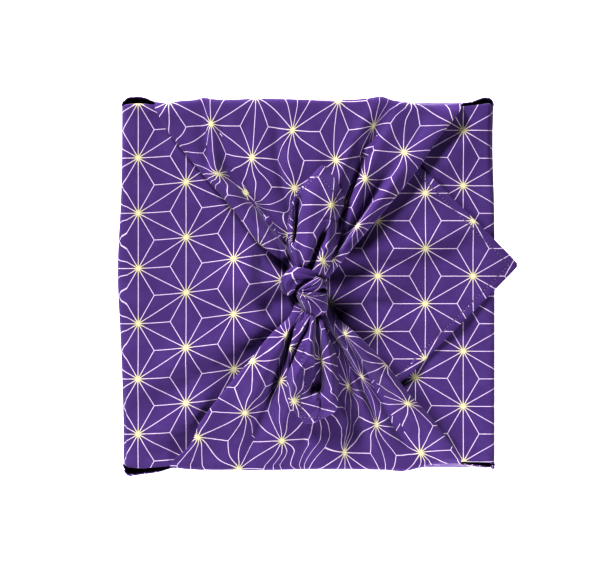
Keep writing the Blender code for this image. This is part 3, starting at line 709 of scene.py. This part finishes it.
def gathered_flap(side, rim):
    """A gathered flap: round the rim's bend, then in folds to the knot, with both edges rolled under.

    Each column keeps its share of the width between the flap's edges. A roll grows from the walls' pleat
    to half the edge's lift across, and its length from the pleat's depth to half a turn and a third of the
    flap's width.
    """
    way, edges, folds, _ = GATHERS[side]
    start, start_flat = rim_part(rim, 0, PLEAT_RUN)
    share = (start[:, 0] - start[0, 0]) / (start[-1, 0] - start[0, 0])
    lifted = rim_relief(side, start[:, 0])
    rows, flats = rim_bend(start, start_flat, 1, way, lifted)
    downs = [(0.0, -way * np.cos(angle), -np.sin(angle)) for angle in BEND_ANGLES[:-1]]
    rolls = [(down, 0.0, PLEAT_R, PLEAT_DEPTH) for down in downs]
    bent = start[:, 1] - way * (BEND_R + 0.7 * lifted)
    bent_flat = start_flat + (0.0, way * BEND_R * pi / 2.0)
    for progress in flap_progress():
        at = bent + (edges[-1].y - bent) * progress
        outer = at + (way * RIM - bent) * (1.0 - smooth_step(progress * 5.0))
        left, right = rows_at(edges, "left", outer), rows_at(edges, "right", outer)
        x = left + (right - left) * share
        rows.append(places_at(x, at, gather_height(edges, folds, x, at)))
        bare_x, bare_y = bare_place(folds, x, at)
        flat = places_at(bare_x, way * (FLAT_TOP - way * bare_y))
        if progress == 0.0:
            mismatch = bent_flat - flat
        flats.append(flat + mismatch * (1.0 - progress))
        y = float(at.mean())
        grown = float(smooth_step((RIM - way * y) / EDGE_GROWS))
        radius = ROLL_R + float(rows_at(edges, "lift", y)) / 2.0
        length = pi * radius + min(TUCK_MOST, TUCK_SHARE * float(right.mean() - left.mean()))
        radius = PLEAT_R + (radius - PLEAT_R) * grown
        rolls.append(((0.0, 0.0, -1.0), grown, radius, PLEAT_DEPTH + (length - PLEAT_DEPTH) * grown))
    wide = []
    for i, (row, flat, (down, grown, radius, length)) in enumerate(zip(rows, flats, rolls)):
        ends, end_flats = [], []
        for end, outward in ((0, -1.0), (-1, 1.0)):
            run = rows[min(i + 1, len(rows) - 1)][end, :2] - rows[max(i - 1, 0)][end, :2]
            out = np.array([run[1], -run[0], 0.0]) / max(np.hypot(*run), 1e-6)
            if out[0] * outward < 0:
                out = -out
            out = (1.0 - grown) * np.array([outward, 0.0, 0.0]) + grown * out
            out /= np.hypot(*out[:2])
            places, steps = rolled_edge(row[end], out, np.array(down), radius, length, edges, folds)
            ends.append(places)
            end_flats.append(flat[end] + steps[:, None] * (out[0], -out[1]))
        wide.append((widened(row, *ends), widened(flat, *end_flats)))
    return grid_patch(wide, flip=side == "back")


# ---- Tails and knot ----

TAIL_COLUMNS = 56
TAIL_ROWS = 76
TAIL_OVER = 0.8                # a tail's least height over the flap under it
TAIL_EDGE_R = 1.1
BAND_AROUND = 48
BAND_STEPS = 56
BAND_PLEATS = 8
BAND_PLEAT_DEPTH = 0.08
BAND_ROUNDINGS = 14
SHELL_RAYS = 71
SHELL_STEPS = 45
SHELL_DENT = Dent(10.6, -4.0, 2.6, 1.7, 11.0)
SHELL_PLEAT = 2.0
SHELL_LEAST = 0.5


def evened(heights):
    """The mean of each row and its six neighbours along the tail."""
    padded = np.concatenate([heights[:1]] * 3 + [heights] + [heights[-1:]] * 3)
    return np.mean([padded[k:k + len(heights)] for k in range(7)], axis=0)


def tail_patch(table, tail_folds, gather, tip_flat, turn):
    """A tail: a leaf of cloth with folds along it and turned-under edges, over the flap that it lies on.

    Across, it is an arch of a sine on the flap's evened height. Its flat places are arc length across and
    distance from the tip along, turned about the cloth's corner.
    """
    first, last = table[0].y, table[-1].y
    ys = np.linspace(first, last, TAIL_ROWS)
    ease = np.sin(np.linspace(-pi / 2.0, pi / 2.0, TAIL_COLUMNS + 1)) * 0.5 + 0.5
    share = 0.35 * ease + 0.65 * np.linspace(0.0, 1.0, TAIL_COLUMNS + 1)
    names = ("left", "right", "lift", "arch")
    left, right, lift, arch = (rows_at(table, name, ys)[:, None] for name in names)
    xs = left + (right - left) * share
    at = np.broadcast_to(ys[:, None], xs.shape)
    beside = ((0, 0), (1.2, 0), (-1.2, 0), (0, 1.2), (0, -1.2))
    under = [gather_height(gather.edges, gather.folds, xs + dx, at + dy) for dx, dy in beside]
    over = np.max(under, axis=0) + TAIL_OVER
    stiff = evened(evened(0.7 * over.max(axis=1, keepdims=True) + 0.3 * over))
    calm = smooth_step((right - left) / 16.0)
    zs = stiff + lift + arch * (2.0 * np.sin(pi * share) ** 0.7 - 1.0)
    zs = not_below(zs + calm * fold_relief(tail_folds, xs, at), over, 1.5)
    turn_angle = np.linspace(0.0, pi, 6)[1:]
    c, s = np.cos(turn), np.sin(turn)
    rows = []
    for y, width, x, z, over in zip(ys, (right - left)[:, 0], xs, zs, over):
        row = places_at(x, y, z)
        ends = []
        for end, outward in ((0, -1.0), (-1, 1.0)):
            depth = max(0.3, min(2.6, row[end, 2] - over[end] + 0.6))
            radius = min(TAIL_EDGE_R, depth / 2.0, 0.25 * width)
            out, drop = outward * radius * np.sin(turn_angle), radius * (1.0 - np.cos(turn_angle))
            out[-1] -= outward * min(1.5, 0.2 * width)
            ends.append(row[end] + places_at(out, 0.0, -drop))
        row = widened(row, *ends)
        step = np.hypot(np.diff(row[:, 0]), np.diff(row[:, 2]))
        arc = np.concatenate([[0.0], np.cumsum(step)])
        middle = len(row) // 2
        along = abs(last - y)
        across = arc - arc[middle] + x[middle - len(turn_angle)] * 0.3
        flat = places_at(c * across - s * along, s * across + c * along) + tip_flat
        rows.append((row, flat))
    return grid_patch(rows, flip=last < first)


def band_patch(stops, flat_at):
    """A knot's band: an oval section along a rounded path, with cosine pleats along it, and tapered ends."""
    table = np.array(stops, float)
    fine = np.linspace(0, len(table) - 1, BAND_STEPS)
    path = np.stack([np.interp(fine, np.arange(len(table)), table[:, k]) for k in range(5)], axis=1)
    for _ in range(BAND_ROUNDINGS):
        path[1:-1] = (path[:-2] + 2.0 * path[1:-1] + path[2:]) / 4.0
    run = np.gradient(path[:, :3], axis=0)
    run /= np.linalg.norm(run, axis=1)[:, None]
    side = np.cross(run, (0.0, 0.0, 1.0))
    side /= np.linalg.norm(side, axis=1)[:, None]
    up = np.cross(side, run)
    end = np.sqrt(np.clip(np.minimum(fine, fine[::-1]) / 0.7, 0.02, 1.0))
    angle = np.linspace(0, 2 * pi, BAND_AROUND + 1)
    wide = np.cos(BAND_PLEATS * angle + 1.2 * np.sin(fine[:, None] * 1.7))
    fine_pleats = np.cos((BAND_PLEATS + 5) * angle + fine[:, None])
    ripple = 1.0 + BAND_PLEAT_DEPTH * (wide + 0.5 * fine_pleats)
    section = (
        side[:, None] * (path[:, 3] * end / 2)[:, None, None] * (ripple * np.cos(angle))[..., None]
        + up[:, None] * (path[:, 4] * end / 2)[:, None, None] * (ripple * np.sin(angle))[..., None]
    )
    points = path[:, None, :3] + section
    points[..., 2] += GATHER_Z
    length = np.concatenate([[0.0], np.cumsum(np.linalg.norm(np.diff(path[:, :3], axis=0), axis=1))])
    girth = angle * path[:, 3].mean() / 2.0
    flat = places_at(flat_at[0] + girth, flat_at[1] + length[:, None])
    return grid_patch(zip(points, flat), flip=True)


def shell_patch():
    """The knot's front band: cloth that fans out from its pinch over a round body, with pleats to the pinch.

    Along each ray from the pinch it is half an oval, out over the top and down the far side. The rays'
    heights fall to both sides, sharply beside the upper band, and one dent is a bell.
    """
    turn = np.linspace(SHELL_REACH[-1].turn, SHELL_REACH[0].turn, SHELL_RAYS)
    spread = np.linspace(1.0, -1.0, SHELL_RAYS)[:, None]
    rise = np.linspace(0.0, 1.0, SHELL_STEPS) * pi
    reach = rows_at(SHELL_REACH, "reach", turn)[:, None]
    away = reach * (1.0 - np.cos(rise)) / 2.0
    rays = np.radians(turn)[:, None] + 0.05 * np.sin(rise)
    x = PINCH[0] + away * np.cos(rays)
    y = PINCH[1] + away * np.sin(rays)
    side = np.where(spread > 0, (1.0 - np.abs(spread) ** 5.0) ** 0.5, (1.0 - np.abs(spread) ** 2.6) ** 0.5)
    full = np.sin(rise) ** np.where(rise > pi / 2.0, 0.42, 0.75)
    top = 1.0 + SHELL_RISE * full * (0.15 + 0.85 * side) * (1.0 + 0.05 * spread)
    pleat = np.abs(np.sin(11.0 * spread + 0.8)) + 0.6 * np.abs(np.sin(19.0 * spread + 0.3)) - 1.0
    top = top + SHELL_PLEAT * pleat * np.exp(-((rise - 0.9) / 0.95) ** 2) * side
    dent = ((x - SHELL_DENT.x) / SHELL_DENT.length) ** 2 + ((y - SHELL_DENT.y) / SHELL_DENT.width) ** 2
    top = top - SHELL_DENT.depth * np.exp(-dent)
    points = places_at(x, y, GATHER_Z + np.maximum(top, SHELL_LEAST))
    flat = places_at(30.0 + 44.0 * spread, 430.0 + reach * rise / 2.0)
    return grid_patch(zip(points, flat))


NEAR_RIM = np.array([RIM, 138.5, 135.0, 131.0, 127.5, 125.0, 122.5, 120.0])
PAST_RIM = np.array([144.0, 147.0, 150.0, 153.0, 156.0, 159.0, 161.0, 162.6])


def cloth_patches():
    """The whole cloth: floor and walls, the left flap over the right, the gathered flaps, tails and knot."""
    folded, rims = wall_patches()
    left_xs = np.concatenate([-NEAR_RIM, np.linspace(-116.0, RIM, 68), PAST_RIM])
    right_xs = np.concatenate([NEAR_RIM, np.linspace(116.0, -136.0, 46)])
    back_tip, front_tip = (0.0, HALF_DIAGONAL), (10.0, 10.0 - HALF_DIAGONAL)
    return folded + [
        side_flap("left", rims["left"], LEFT_Z, LEFT_CORNER, left_xs, LEFT_MOUTH, LEFT_FOLDS),
        side_flap("right", rims["right"], RIGHT_Z, RIGHT_CORNER, right_xs, RIGHT_MOUTH, RIGHT_FOLDS),
        gathered_flap("back", rims["back"]),
        gathered_flap("front", rims["front"]),
        tail_patch(BACK_TAIL, BACK_TAIL_FOLDS, GATHERS["back"], back_tip, pi),
        tail_patch(FRONT_TAIL, FRONT_TAIL_FOLDS, GATHERS["front"], front_tip, 0.78),
        band_patch(KNOT_UPPER, (31.0, 392.0)),
        shell_patch(),
    ]


def mesh_from(name, patches):
    """One mesh from patches, with their flat places as a UV map in metres. Patches that touch are welded."""
    points = np.concatenate([patch.points for patch in patches]) * MM
    flat = np.concatenate([patch.flat for patch in patches]) * MM
    faces, count = [], 0
    for patch in patches:
        faces += (np.asarray(patch.faces) + count).tolist()
        count += len(patch.points)
    mesh = bpy.data.meshes.new(name)
    mesh.from_pydata(points.tolist(), [], faces)
    corners = np.zeros(len(mesh.loops), np.int32)
    mesh.loops.foreach_get("vertex_index", corners)
    layer = mesh.uv_layers.new(name="flat_cloth")
    layer.data.foreach_set("uv", flat[corners].astype(np.float32).ravel())
    work = bmesh.new()
    work.from_mesh(mesh)
    bmesh.ops.remove_doubles(work, verts=work.verts, dist=2e-5)
    bmesh.ops.dissolve_degenerate(work, edges=work.edges, dist=1e-5)
    for face in work.faces:
        face.smooth = True
    work.to_mesh(mesh)
    work.free()
    return mesh


# ---- Materials ----

class Nodes:
    """Short ways to add and join shader nodes in one tree."""

    def __init__(self, tree):
        self.tree = tree

    def add(self, kind, **settings):
        node = self.tree.nodes.new(kind)
        for name, value in settings.items():
            setattr(node, name, value)
        return node

    def feed(self, node, values):
        """Joins or sets a node's inputs, each by its name or place."""
        for key, value in values.items():
            socket = node.inputs[key]
            if isinstance(value, bpy.types.NodeSocket):
                self.tree.links.new(value, socket)
            else:
                socket.default_value = value
        return node

    def chain(self, kind, values, **settings):
        """A new node with its first inputs fed in order: its outputs."""
        return self.feed(self.add(kind, **settings), dict(enumerate(values))).outputs

    def math(self, operation, *values):
        return self.chain("ShaderNodeMath", values, operation=operation)[0]

    def vector(self, operation, *values):
        made = self.chain("ShaderNodeVectorMath", values, operation=operation)
        return made["Value" if operation == "DOT_PRODUCT" else 0]

    def ramp(self, value, low, high, first=0.0, last=1.0):
        """An S from first at low to last at high."""
        values = (value, low, high, first, last)
        return self.chain("ShaderNodeMapRange", values, interpolation_type="SMOOTHSTEP")["Result"]

    def mix(self, factor, first, second):
        node = self.add("ShaderNodeMix", data_type="RGBA")
        return self.feed(node, {"Factor": factor, 6: first, 7: second}).outputs[2]

    def noise(self, vector, scale, detail=2.0, rough=0.5, output="Fac"):
        values = {"Vector": vector, "Scale": scale, "Detail": detail, "Roughness": rough}
        return self.feed(self.add("ShaderNodeTexNoise"), values).outputs[output]

    def group(self, tree, vector):
        return self.feed(self.add("ShaderNodeGroup", node_tree=tree), {"Vector": vector}).outputs

    def bump(self, height, strength, distance):
        values = {"Height": height, "Strength": strength, "Distance": distance}
        return self.feed(self.add("ShaderNodeBump"), values).outputs["Normal"]


def node_group(name, sizes, masks):
    """A shader group that takes a Vector and named sizes: its Nodes, its inputs and its output node."""
    tree = bpy.data.node_groups.new(name, "ShaderNodeTree")
    tree.interface.new_socket("Vector", in_out="INPUT", socket_type="NodeSocketVector")
    for size, value in sizes.items():
        tree.interface.new_socket(size, in_out="INPUT", socket_type="NodeSocketFloat").default_value = value
    for mask in masks:
        tree.interface.new_socket(mask, in_out="OUTPUT", socket_type="NodeSocketFloat")
    nodes = Nodes(tree)
    return nodes, nodes.add("NodeGroupInput").outputs, nodes.add("NodeGroupOutput")


def hemp_leaf_group():
    """The hemp leaf print: lines along a triangular lattice, and from each triangle's middle to its corners.

    A place's three heights in its triangle, as shares of the triangle's height, add up to one. The nearest
    side is the smallest share away, and the nearest inner line the middle share less the smallest, over the
    root of three. The lines are thinner away from the points.
    """
    nodes, given, out = node_group(
        "hemp_leaf_print", {"Spacing": 0.043, "Line": 0.00062, "Soft": 0.0002}, ("Lines", "Points"))
    m = nodes.math
    height = m("MULTIPLY", given["Spacing"], 3 ** 0.5 / 2)
    shares = []
    for angle in (0.0, 2 * pi / 3, 4 * pi / 3):
        direction = (float(np.cos(angle)), float(np.sin(angle)), 0.0)
        along = nodes.vector("DOT_PRODUCT", given["Vector"], direction)
        shares.append(m("FRACT", m("DIVIDE", along, height)))
    total = m("ADD", m("ADD", shares[0], shares[1]), shares[2])
    upside_down = m("GREATER_THAN", total, 1.5)
    upright = m("SUBTRACT", 1.0, upside_down)
    a, b, c = (
        m("ADD", m("MULTIPLY", m("SUBTRACT", 1.0, share), upside_down), m("MULTIPLY", share, upright))
        for share in shares
    )
    smallest = m("MINIMUM", m("MINIMUM", a, b), c)
    largest = m("MAXIMUM", m("MAXIMUM", a, b), c)
    middle = m("SUBTRACT", m("SUBTRACT", 1.0, smallest), largest)
    to_side = m("MULTIPLY", smallest, height)
    to_inner = m("MULTIPLY", m("SUBTRACT", middle, smallest), m("DIVIDE", height, 3 ** 0.5))
    squares = m("ADD", m("MULTIPLY", middle, middle), m("MULTIPLY", smallest, m("ADD", smallest, middle)))
    to_point = m("MULTIPLY", m("SQRT", squares), given["Spacing"])
    thick = m("MULTIPLY", given["Line"], nodes.ramp(to_point, 0.0, 0.008, 0.75, 0.5))
    near = m("SUBTRACT", m("MINIMUM", to_side, to_inner), thick)
    lines = nodes.ramp(near, m("MULTIPLY", given["Soft"], -1.0), given["Soft"], 1.0, 0.0)
    nodes.feed(out, {"Lines": lines, "Points": nodes.ramp(to_point, 0.0015, 0.010, 0.9, 0.0)})
    return nodes.tree


def plain_weave_group():
    """Threads of a plain weave as a height: two crossing sines multiplied, with uneven yarn from noise."""
    nodes, given, out = node_group("plain_weave", {"Thread": 0.0005}, ("Height", "Yarn"))
    m = nodes.math
    waves = []
    for direction in ((0.70711, 0.70711, 0.0), (0.70711, -0.70711, 0.0)):
        along = nodes.vector("DOT_PRODUCT", given["Vector"], direction)
        waves.append(m("SINE", m("MULTIPLY", m("DIVIDE", along, given["Thread"]), pi)))
    yarn = nodes.noise(given["Vector"], 900.0)
    height = m("ADD", m("MULTIPLY", m("MULTIPLY", *waves), 0.35), yarn)
    nodes.feed(out, {"Height": height, "Yarn": yarn})
    return nodes.tree


def hem_stitch_group():
    """Machine stitches along the cloth's four edges: dashes a set distance inwards, on a dark band of
    painted shade where the seam's groove lies.

    Half the diagonal less the sizes of x and y, over the root of two, is the distance from the edge. The
    difference of the sizes, over the root of two, runs along it.
    """
    nodes, given, out = node_group("hem_stitches", {"Inset": 0.0052, "Pitch": 0.0029}, ("Thread", "PaintedGrooveShade"))
    m = nodes.math
    axes = ((1.0, 0.0, 0.0), (0.0, 1.0, 0.0))
    x, y = (m("ABSOLUTE", nodes.vector("DOT_PRODUCT", given["Vector"], axis)) for axis in axes)
    inwards = m("DIVIDE", m("SUBTRACT", HALF_DIAGONAL * MM, m("ADD", x, y)), 2 ** 0.5)
    along = m("DIVIDE", m("SUBTRACT", x, y), 2 ** 0.5)
    off_line = m("ABSOLUTE", m("SUBTRACT", inwards, given["Inset"]))
    dash = m("ABSOLUTE", m("SUBTRACT", m("FRACT", m("DIVIDE", along, given["Pitch"])), 0.5))
    across = nodes.ramp(off_line, 0.0002, 0.0005, 0.8, 0.0)
    thread = m("MULTIPLY", across, nodes.ramp(dash, 0.26, 0.34, 1.0, 0.0))
    # The second output is painted shade: a dark band along the stitch line, standing in for the shade in its
    # groove.
    nodes.feed(out, {"Thread": thread, "PaintedGrooveShade": nodes.ramp(off_line, 0.0004, 0.0011, 0.7, 0.0)})
    return nodes.tree


def surface(name):
    """A new material's Nodes and its Principled shader."""
    made = bpy.data.materials.new(name)
    made.use_nodes = True
    return made, Nodes(made.node_tree), made.node_tree.nodes["Principled BSDF"]


GROUND = (0.069, 0.028, 0.158, 1.0)
GROUND_WORN = (0.104, 0.057, 0.236, 1.0)
LINE_INK = (0.68, 0.56, 0.70, 1.0)
POINT_INK = (0.64, 0.60, 0.33, 1.0)
# Painted shade: the dark colour of the band along the hem stitches, in place of the shade in their groove.
PAINTED_GROOVE_SHADE = (0.022, 0.008, 0.055, 1.0)
THREAD = (0.20, 0.13, 0.34, 1.0)
CARD = (0.56, 0.43, 0.29, 1.0)
CARD_FLECK = (0.42, 0.30, 0.19, 1.0)
CARD_PALE = (0.66, 0.54, 0.39, 1.0)
PRINT_SHIFT = (0.0125, 0.0085, 0.0)
PRINT_WOBBLE = (0.0003, 0.0003, 0.0)


def printed_cotton():
    """Matt purple cotton in a plain weave, with a fine pale print that turns gold where its lines meet."""
    made, nodes, shader = surface("printed_cotton")
    place = nodes.add("ShaderNodeUVMap", uv_map="flat_cloth").outputs["UV"]
    weave = nodes.group(plain_weave_group(), place)
    rough_edge = nodes.noise(place, 700.0, output="Color")
    shifted = nodes.vector("ADD", place, PRINT_SHIFT)
    leaf = nodes.group(hemp_leaf_group(), nodes.vector("MULTIPLY_ADD", rough_edge, PRINT_WOBBLE, shifted))
    stitched = nodes.group(hem_stitch_group(), place)
    cloudy = nodes.noise(place, 60.0, 3.0, 0.6)
    ground = nodes.mix(nodes.ramp(cloudy, 0.35, 0.75, 0.0, 0.35), GROUND, GROUND_WORN)
    ground = nodes.mix(nodes.ramp(weave["Yarn"], 0.55, 0.8, 0.0, 0.35), ground, GROUND_WORN)
    ink = nodes.mix(leaf["Points"], LINE_INK, POINT_INK)
    cover = nodes.math("MULTIPLY", leaf["Lines"], nodes.ramp(weave["Yarn"], 0.25, 0.5, 0.75, 0.97))
    # The dark band along the stitches is painted shade, in the groove colour.
    printed = nodes.mix(stitched["PaintedGrooveShade"], nodes.mix(cover, ground, ink), PAINTED_GROOVE_SHADE)
    nodes.feed(shader, {
        "Base Color": nodes.mix(stitched["Thread"], printed, THREAD),
        "Roughness": nodes.ramp(cover, 0.0, 1.0, 0.88, 0.7),
        "Specular IOR Level": 0.25,
        "Sheen Weight": 0.12,
        "Sheen Roughness": 0.5,
        "Normal": nodes.bump(weave["Height"], 0.35, 0.00012),
    })
    return made


def plain_card():
    """Brown card: soft fibre flecks and a slight waviness."""
    made, nodes, shader = surface("plain_card")
    place = nodes.add("ShaderNodeTexCoord").outputs["Object"]
    flecks = nodes.noise(place, 1400.0, 4.0, 0.7)
    clouds = nodes.noise(place, 40.0, 3.0)
    colour = nodes.mix(nodes.ramp(flecks, 0.4, 0.75), CARD, CARD_FLECK)
    nodes.feed(shader, {
        "Base Color": nodes.mix(nodes.ramp(clouds, 0.3, 0.7, 0.0, 0.3), colour, CARD_PALE),
        "Roughness": nodes.ramp(flecks, 0.3, 0.8, 0.75, 0.9),
        "Normal": nodes.bump(flecks, 0.3, 0.0002),
    })
    return made


def pale_floor():
    """White paper that glows a little."""
    made, nodes, shader = surface("pale_floor")
    nodes.feed(shader, {
        "Base Color": (0.95, 0.95, 0.95, 1.0),
        "Emission Color": (1.0, 1.0, 1.0, 1.0),
        "Emission Strength": 1.2,
        "Roughness": 0.9,
    })
    return made


# ---- The scene ----

FLOOR_SIZE = 6.0
LIGHT_AIM = (0.0, 0.0, 0.03)
FILL_LIGHT = 0.045             # of the background, where it isn't seen straight on
CAMERA_HEIGHT = 1.35
CAMERA_ACROSS = 0.467          # width of what the camera sees at the height of the wrap's top


def placed(name, data, place=(0.0, 0.0, 0.0)):
    """A new object in the scene, at a place in metres."""
    thing = bpy.data.objects.new(name, data)
    bpy.context.scene.collection.objects.link(thing)
    thing.location = place
    return thing


def add_cloth():
    """The wrap: its mesh is the middle of the sheet, and half the sheet's thickness goes to each side."""
    mesh = mesh_from("furoshiki", cloth_patches())
    mesh.materials.append(printed_cotton())
    cloth = placed("furoshiki", mesh)
    thickness = cloth.modifiers.new("sheet", "SOLIDIFY")
    thickness.thickness = SHEET * MM
    thickness.offset = 0.0
    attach(cloth, "root")
    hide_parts("furoshiki_cloth")


def dress_box():
    """The frame's own box, in card."""
    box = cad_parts["gift_box"]
    box.data.materials.clear()
    box.data.materials.append(plain_card())


def add_floor():
    """A large square just under the wrap."""
    bpy.ops.mesh.primitive_plane_add(size=FLOOR_SIZE, location=(0.0, 0.0, -0.0002))
    floor = bpy.context.object
    floor.name = "floor"
    floor.data.materials.append(pale_floor())


def add_light(name, place, size, power, aim=LIGHT_AIM):
    """A square soft light at a place, facing the wrap, in metres and watts."""
    light = bpy.data.lights.new(name, "AREA")
    light.shape = "SQUARE"
    light.size = size
    light.energy = power
    direction = Vector(aim) - Vector(place)
    placed(name, light, place).rotation_euler = direction.to_track_quat("-Z", "Y").to_euler()


def add_studio():
    """A strong light far out at the back left, a weak one in front, and a background that is seen white."""
    world = bpy.data.worlds.new("studio")
    bpy.context.scene.world = world
    world.use_nodes = True
    nodes = Nodes(world.node_tree)
    seen = nodes.add("ShaderNodeLightPath").outputs["Is Camera Ray"]
    strength = nodes.math("MAXIMUM", seen, FILL_LIGHT)
    nodes.feed(world.node_tree.nodes["Background"], {"Color": (1.0, 1.0, 1.0, 1.0), "Strength": strength})
    add_light("key_left", (-2.0, 3.1, 1.65), 1.0, 435.0)
    add_light("key_front", (0.25, -1.0, 0.5), 0.5, 21.0)
    bpy.context.scene.view_settings.view_transform = "Standard"
    bpy.context.scene.view_settings.gamma = 0.75


def add_camera():
    """Straight above, a little off the middle of the box, so that the whole wrap is in view."""
    camera = bpy.data.cameras.new("camera")
    camera.sensor_width = 36.0
    camera.lens = camera.sensor_width * (CAMERA_HEIGHT - GATHER_Z * MM) / CAMERA_ACROSS
    bpy.context.scene.camera = placed("camera", camera, (-0.0066, -0.0027, CAMERA_HEIGHT))


add_camera()
add_cloth()
dress_box()
add_floor()
add_studio()
